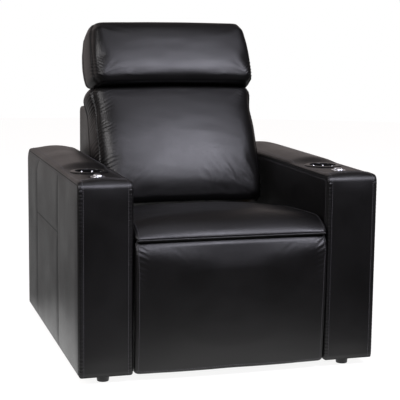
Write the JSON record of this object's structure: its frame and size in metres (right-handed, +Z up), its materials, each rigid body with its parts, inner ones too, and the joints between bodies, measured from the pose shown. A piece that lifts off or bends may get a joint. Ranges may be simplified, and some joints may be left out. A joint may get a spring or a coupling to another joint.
{
  "type": "cinema recliner seat",
  "caption": "Black leather home cinema recliner with boxy arms, cup holders, chrome arm switches, an overhanging headrest and a full-height power footrest.",
  "frame": {"origin": "on the floor, below the middle of the seat's outer box", "axes": "+Z up; -Y is the front, where the footrest is; X across the seat, with +X to the sitter's left"},
  "size_m": [0.946, 1.016, 1.0716],
  "materials": {
    "black_leather": "satin",
    "frame_timber": "matte",
    "black_steel": "satin",
    "bright_steel": "satin",
    "chrome": "polished",
    "black_plastic": "matte",
    "gloss_black_plastic": "gloss",
    "belt_fabric": "matte"
  },
  "bodies": {
    "base": {"arm_base_beams": "frame_timber", "arm_bolts": "bright_steel", "base_tubes": "black_steel", "channel_rails": "black_steel", "feet": "black_plastic", "left_arm_front_panel": "black_leather", "left_arm_inner_panel": "black_leather", "left_arm_outer_panel": "black_leather", "left_arm_rear_panel": "black_leather", "left_arm_top_panel": "black_leather", "left_cup_holder": "gloss_black_plastic", "left_switch_surround": "chrome", "power_supply": "black_plastic", "recline_drive_housing": "black_plastic", "right_arm_front_panel": "black_leather", "right_arm_inner_panel": "black_leather", "right_arm_outer_panel": "black_leather", "right_arm_rear_panel": "black_leather", "right_arm_top_panel": "black_leather", "right_cup_holder": "gloss_black_plastic", "right_switch_surround": "chrome"},
    "seat": {"seat_plates": "black_steel", "slide_bars": "bright_steel", "seat_side_rails": "frame_timber", "front_seat_rail": "frame_timber", "rear_seat_rail": "frame_timber", "seat_webbing": "belt_fabric", "seat_cushion": "black_leather", "upper_seat_tube": "black_steel", "lower_seat_tube": "black_steel", "footrest_drive_housing": "black_plastic", "recline_drive_piston": "bright_steel"},
    "backrest": {"back_stiles": "frame_timber", "back_rails": "frame_timber", "back_webbing": "belt_fabric", "back_brackets": "black_steel", "back_cushion": "black_leather", "back_top_panel": "black_leather", "back_rear_panel": "black_leather", "left_back_side_panel": "black_leather", "right_back_side_panel": "black_leather", "headrest_straps": "black_steel"},
    "headrest": {"headrest_board": "frame_timber", "headrest_cushion": "black_leather", "headrest_hinge_leaves": "black_steel"},
    "front_links": {"front_links": "black_steel", "torsion_tube": "black_steel"},
    "rear_links": {"rear_links": "black_steel"},
    "upper_links": {"upper_links": "black_steel"},
    "lower_links": {"lower_links": "black_steel"},
    "footrest": {"footrest_brackets": "black_steel", "footrest_board": "frame_timber", "footrest_pad": "black_leather"},
    "footrest_piston": {"footrest_drive_piston": "bright_steel"},
    "swing_links": {"swing_links": "black_steel"},
    "left_front_button": {"left_front_button": "chrome"},
    "left_rear_button": {"left_rear_button": "chrome"},
    "right_front_button": {"right_front_button": "chrome"},
    "right_rear_button": {"right_rear_button": "chrome"}
  },
  "joints": [
    {"name": "seat_slide", "type": "slide", "parent": "base", "child": "seat", "axis": [0, -1, 0], "range_m": [0, 0.1]},
    {"name": "backrest_recline", "type": "hinge", "parent": "seat", "child": "backrest", "pos_m": [0, 0.205, 0.24], "axis": [-1, 0, 0], "range_deg": [0, 30]},
    {"name": "swing_link_turn", "type": "hinge", "parent": "base", "child": "swing_links", "pos_m": [0, 0.15502, 0.2531], "axis": [-1, 0, 0], "range_deg": [-32.2, 0]},
    {"name": "headrest_tilt", "type": "hinge", "parent": "backrest", "child": "headrest", "pos_m": [0, 0.33488, 0.82883], "axis": [-1, 0, 0], "range_deg": [0, 18]},
    {"name": "footrest_swing", "type": "hinge", "parent": "seat", "child": "front_links", "pos_m": [0, -0.318, 0.322], "axis": [-1, 0, 0], "range_deg": [0, 90]},
    {"name": "rear_link_turn", "type": "hinge", "parent": "seat", "child": "rear_links", "pos_m": [0, -0.26321, 0.31721], "axis": [-1, 0, 0], "range_deg": [0, 90]},
    {"name": "upper_link_turn", "type": "hinge", "parent": "front_links", "child": "upper_links", "pos_m": [0, -0.2023, 0.18411], "axis": [-1, 0, 0], "range_deg": [-90, 0]},
    {"name": "lower_link_turn", "type": "hinge", "parent": "front_links", "child": "lower_links", "pos_m": [0, -0.17016, 0.14581], "axis": [-1, 0, 0], "range_deg": [-90, 0]},
    {"name": "footrest_turn", "type": "hinge", "parent": "upper_links", "child": "footrest", "pos_m": [0, -0.3863, 0.32411], "axis": [-1, 0, 0], "range_deg": [0, 90]},
    {"name": "footrest_drive_stroke", "type": "slide", "parent": "seat", "child": "footrest_piston", "axis": [0, -1, 0], "range_m": [0, 0.07778]},
    {"name": "left_front_button_press", "type": "slide", "parent": "base", "child": "left_front_button", "axis": [0, 0, -1], "range_m": [0, 0.0015], "stiffness_N_per_m": 700, "springref_m": -0.0012},
    {"name": "left_rear_button_press", "type": "slide", "parent": "base", "child": "left_rear_button", "axis": [0, 0, -1], "range_m": [0, 0.0015], "stiffness_N_per_m": 700, "springref_m": -0.0012},
    {"name": "right_front_button_press", "type": "slide", "parent": "base", "child": "right_front_button", "axis": [0, 0, -1], "range_m": [0, 0.0015], "stiffness_N_per_m": 700, "springref_m": -0.0012},
    {"name": "right_rear_button_press", "type": "slide", "parent": "base", "child": "right_rear_button", "axis": [0, 0, -1], "range_m": [0, 0.0015], "stiffness_N_per_m": 700, "springref_m": -0.0012}
  ],
  "couplings": [
    {"joint": "seat_slide", "follows": "backrest_recline", "m_per_rad": 0.19099},
    {"joint": "swing_link_turn", "follows": "backrest_recline", "ratio": -1.0733},
    {"joint": "rear_link_turn", "follows": "footrest_swing", "ratio": 1},
    {"joint": "upper_link_turn", "follows": "footrest_swing", "ratio": -1},
    {"joint": "lower_link_turn", "follows": "footrest_swing", "ratio": -1},
    {"joint": "footrest_turn", "follows": "footrest_swing", "ratio": 1},
    {"joint": "footrest_drive_stroke", "follows": "footrest_swing", "m_per_rad": 0.049517}
  ]
}
